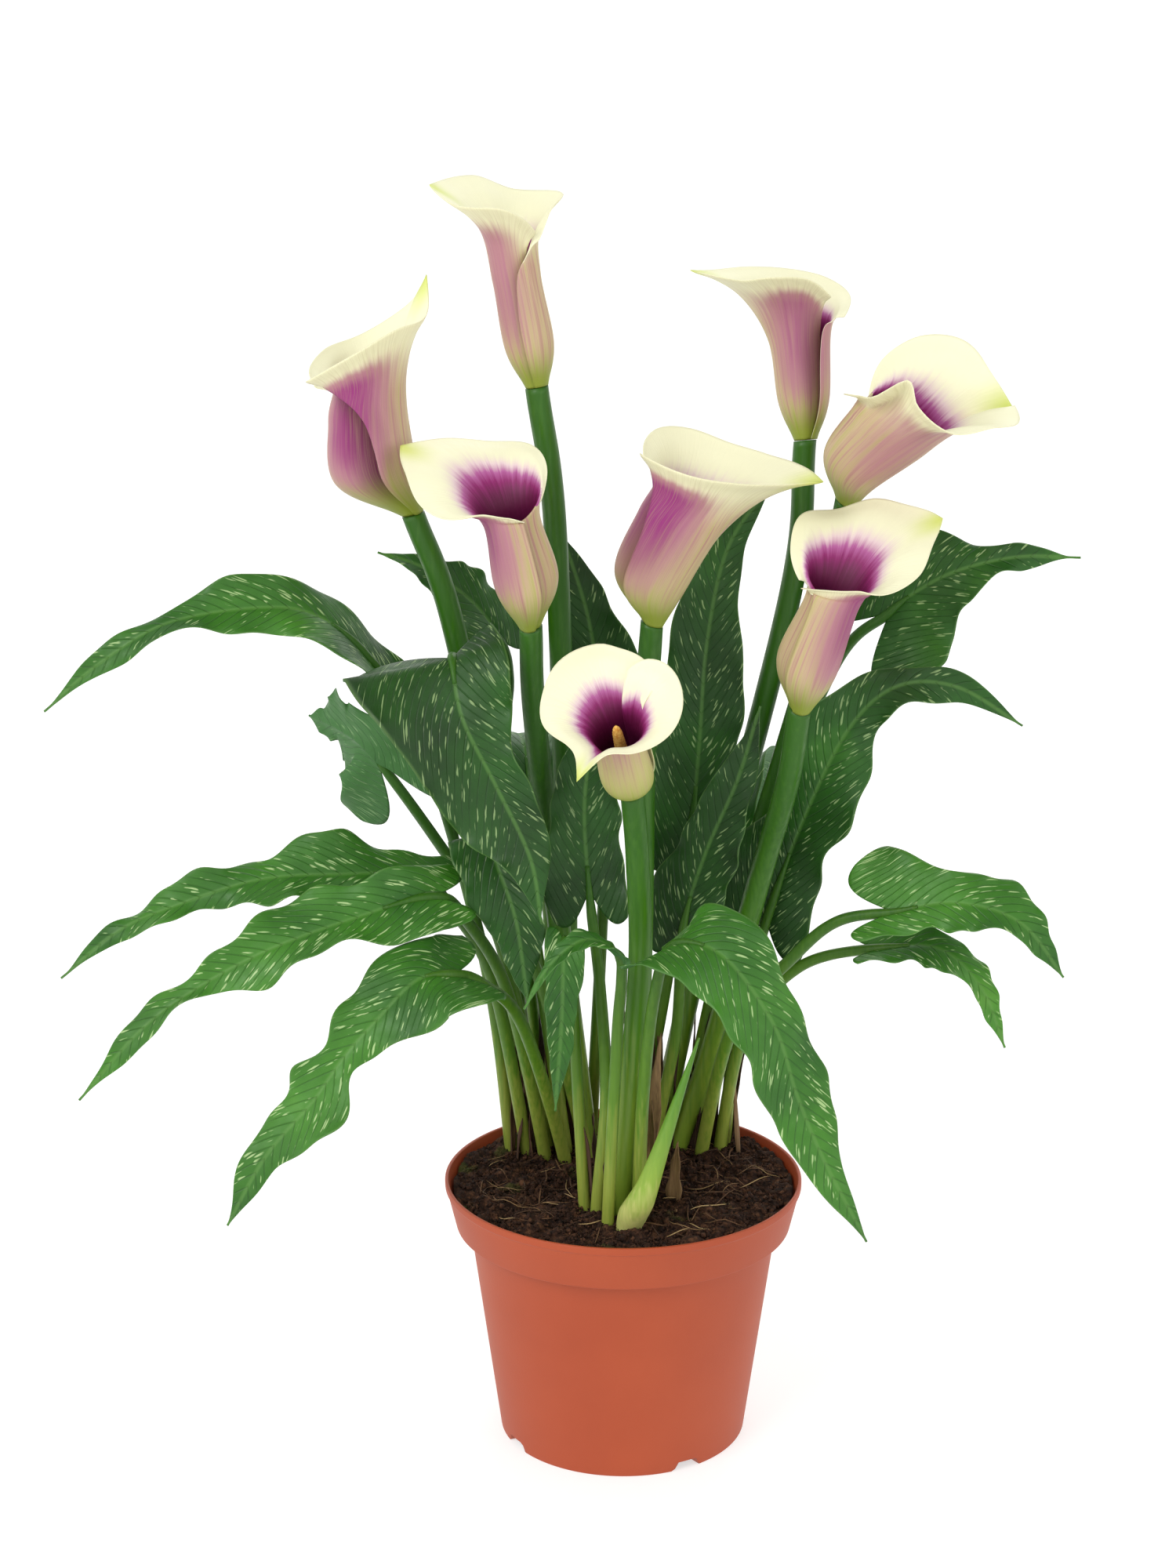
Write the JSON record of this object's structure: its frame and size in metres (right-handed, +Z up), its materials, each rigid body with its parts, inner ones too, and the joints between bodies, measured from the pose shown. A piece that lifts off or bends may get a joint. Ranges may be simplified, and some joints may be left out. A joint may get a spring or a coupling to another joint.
{
  "type": "potted calla lily",
  "caption": "Potted calla lily: rolled white and purple blooms on green stalks over flecked arrow-shaped leaves, in a round plastic pot.",
  "frame": {"origin": "middle of the pot's flat foot, on the surface that it stands on", "axes": "+Z up along the pot's axis; -Y towards the side that faces the viewer; +X to the viewer's right"},
  "size_m": [0.4726, 0.2894, 0.5939],
  "materials": {
    "leaf": "satin",
    "stalk": "satin",
    "sprout": "satin",
    "spathe": "satin",
    "spadix": "matte",
    "tuber": "matte",
    "soil": "matte",
    "pot": "satin"
  },
  "bodies": {
    "root": {"leaf_back_left": "leaf", "leaf_back_right": "leaf", "leaf_centre_back_left": "leaf", "leaf_centre_back_tall": "leaf", "leaf_centre_dark": "leaf", "leaf_centre_front": "leaf", "leaf_front_low_narrow": "leaf", "leaf_front_right_big": "leaf", "leaf_front_small_left": "leaf", "leaf_left_back_small": "leaf", "leaf_left_big": "leaf", "leaf_left_inner": "leaf", "leaf_left_long": "leaf", "leaf_left_low_back": "leaf", "leaf_left_low_front": "leaf", "leaf_left_low_mid": "leaf", "leaf_left_under": "leaf", "leaf_right_back_big": "leaf", "leaf_right_low_lower": "leaf", "leaf_right_low_upper": "leaf", "leaf_right_upper": "leaf", "pot": "pot", "soil": "soil", "spadix_centre": "spadix", "spadix_front": "spadix", "spadix_left": "spadix", "spadix_left_middle": "spadix", "spadix_right_front": "spadix", "spadix_right_top": "spadix", "spadix_right_upper": "spadix", "spadix_top": "spadix", "spathe_centre": "spathe", "spathe_front": "spathe", "spathe_left": "spathe", "spathe_left_middle": "spathe", "spathe_right_front": "spathe", "spathe_right_top": "spathe", "spathe_right_upper": "spathe", "spathe_top": "spathe", "sprout": "sprout", "stalk_centre": "stalk", "stalk_front": "stalk", "stalk_left": "stalk", "stalk_left_middle": "stalk", "stalk_right_front": "stalk", "stalk_right_top": "stalk", "stalk_right_upper": "stalk", "stalk_top": "stalk", "tuber_front": "tuber", "tuber_left": "tuber", "tuber_right": "tuber"}
  },
  "joints": []
}
